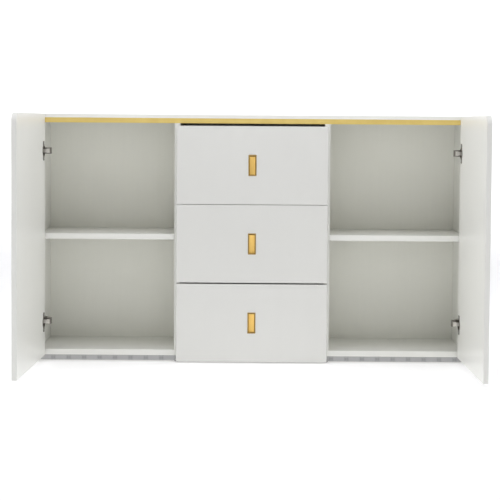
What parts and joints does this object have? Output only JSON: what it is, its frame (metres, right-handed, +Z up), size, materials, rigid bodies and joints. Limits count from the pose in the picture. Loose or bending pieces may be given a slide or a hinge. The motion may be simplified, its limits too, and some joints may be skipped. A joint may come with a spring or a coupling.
{
  "type": "sideboard",
  "caption": "White lacquered sideboard with hinged doors, drawers between them, a gold strip under the top and recessed gold pulls",
  "frame": {"origin": "Centre of the case's footprint, on the underside of the middle support foot, at the level of the floor", "axes": "+X along the length to the right as seen from the front, +Y from the doors towards the wall, +Z up"},
  "size_m": [1.41, 0.7141, 0.8],
  "materials": {
    "white_lacquer": "semi-gloss white lacquer on fibreboard",
    "thin_board": "satin white lacquer on thin fibreboard",
    "gold": "brushed and lightly clear-coated gold-coloured metal",
    "nickel_steel": "nickel-plated pressed steel",
    "zinc_fittings": "zinc-plated screws, pins, cams and bolts",
    "light_strip": "frosted grey plastic profile",
    "light_modules": "unlit light modules seen through the profile",
    "dark_plastic": "dark moulded plastic",
    "dowel_wood": "bare beech dowels"
  },
  "bodies": {
    "carcass": {"top_panel": "white_lacquer", "gold_trim": "gold", "left_side_panel": "white_lacquer", "right_side_panel": "white_lacquer", "left_divider": "white_lacquer", "right_divider": "white_lacquer", "bottom_panel": "white_lacquer", "left_back_panel": "thin_board", "centre_back_panel": "thin_board", "right_back_panel": "thin_board", "left_shelf": "white_lacquer", "right_shelf": "white_lacquer", "shelf_pins": "nickel_steel", "plinth_front": "white_lacquer", "plinth_rear": "white_lacquer", "led_strip": "light_strip", "led_modules": "light_modules", "led_driver": "dark_plastic", "feet": "dark_plastic", "cam_locks": "zinc_fittings", "cam_bolts": "zinc_fittings", "dowels": "dowel_wood", "hinge_plates": "nickel_steel", "hinge_plate_screws": "zinc_fittings", "left_hinge_arms": "nickel_steel", "right_hinge_arms": "nickel_steel", "upper_runner_channels": "nickel_steel", "middle_runner_channels": "nickel_steel", "lower_runner_channels": "nickel_steel"},
    "left_door": {"left_door_panel": "white_lacquer", "left_hinge_cups": "nickel_steel", "left_hinge_pins": "zinc_fittings", "left_cup_screws": "zinc_fittings", "left_door_pull": "gold"},
    "right_door": {"right_door_panel": "white_lacquer", "right_hinge_cups": "nickel_steel", "right_hinge_pins": "zinc_fittings", "right_cup_screws": "zinc_fittings", "right_door_pull": "gold"},
    "upper_drawer": {"upper_drawer_front": "white_lacquer", "upper_drawer_left_side": "white_lacquer", "upper_drawer_right_side": "white_lacquer", "upper_drawer_back": "white_lacquer", "upper_drawer_bottom": "thin_board", "upper_drawer_pull": "gold", "upper_drawer_runners": "nickel_steel"},
    "middle_drawer": {"middle_drawer_front": "white_lacquer", "middle_drawer_left_side": "white_lacquer", "middle_drawer_right_side": "white_lacquer", "middle_drawer_back": "white_lacquer", "middle_drawer_bottom": "thin_board", "middle_drawer_pull": "gold", "middle_drawer_runners": "nickel_steel"},
    "lower_drawer": {"lower_drawer_front": "white_lacquer", "lower_drawer_left_side": "white_lacquer", "lower_drawer_right_side": "white_lacquer", "lower_drawer_back": "white_lacquer", "lower_drawer_bottom": "thin_board", "lower_drawer_pull": "gold", "lower_drawer_runners": "nickel_steel"}
  },
  "joints": [
    {"name": "left_door_swing", "type": "hinge", "parent": "carcass", "child": "left_door", "pos_m": [-0.676, -0.1385, 0.406], "axis": [0, 0, -1], "range_deg": [-92, 2]},
    {"name": "right_door_swing", "type": "hinge", "parent": "carcass", "child": "right_door", "pos_m": [0.676, -0.1385, 0.406], "axis": [0, 0, 1], "range_deg": [-91, 3]},
    {"name": "upper_drawer_slide", "type": "slide", "parent": "carcass", "child": "upper_drawer", "axis": [0, -1, 0], "range_m": [0, 0.17]},
    {"name": "middle_drawer_slide", "type": "slide", "parent": "carcass", "child": "middle_drawer", "axis": [0, -1, 0], "range_m": [0, 0.17]},
    {"name": "lower_drawer_slide", "type": "slide", "parent": "carcass", "child": "lower_drawer", "axis": [0, -1, 0], "range_m": [0, 0.17]}
  ]
}
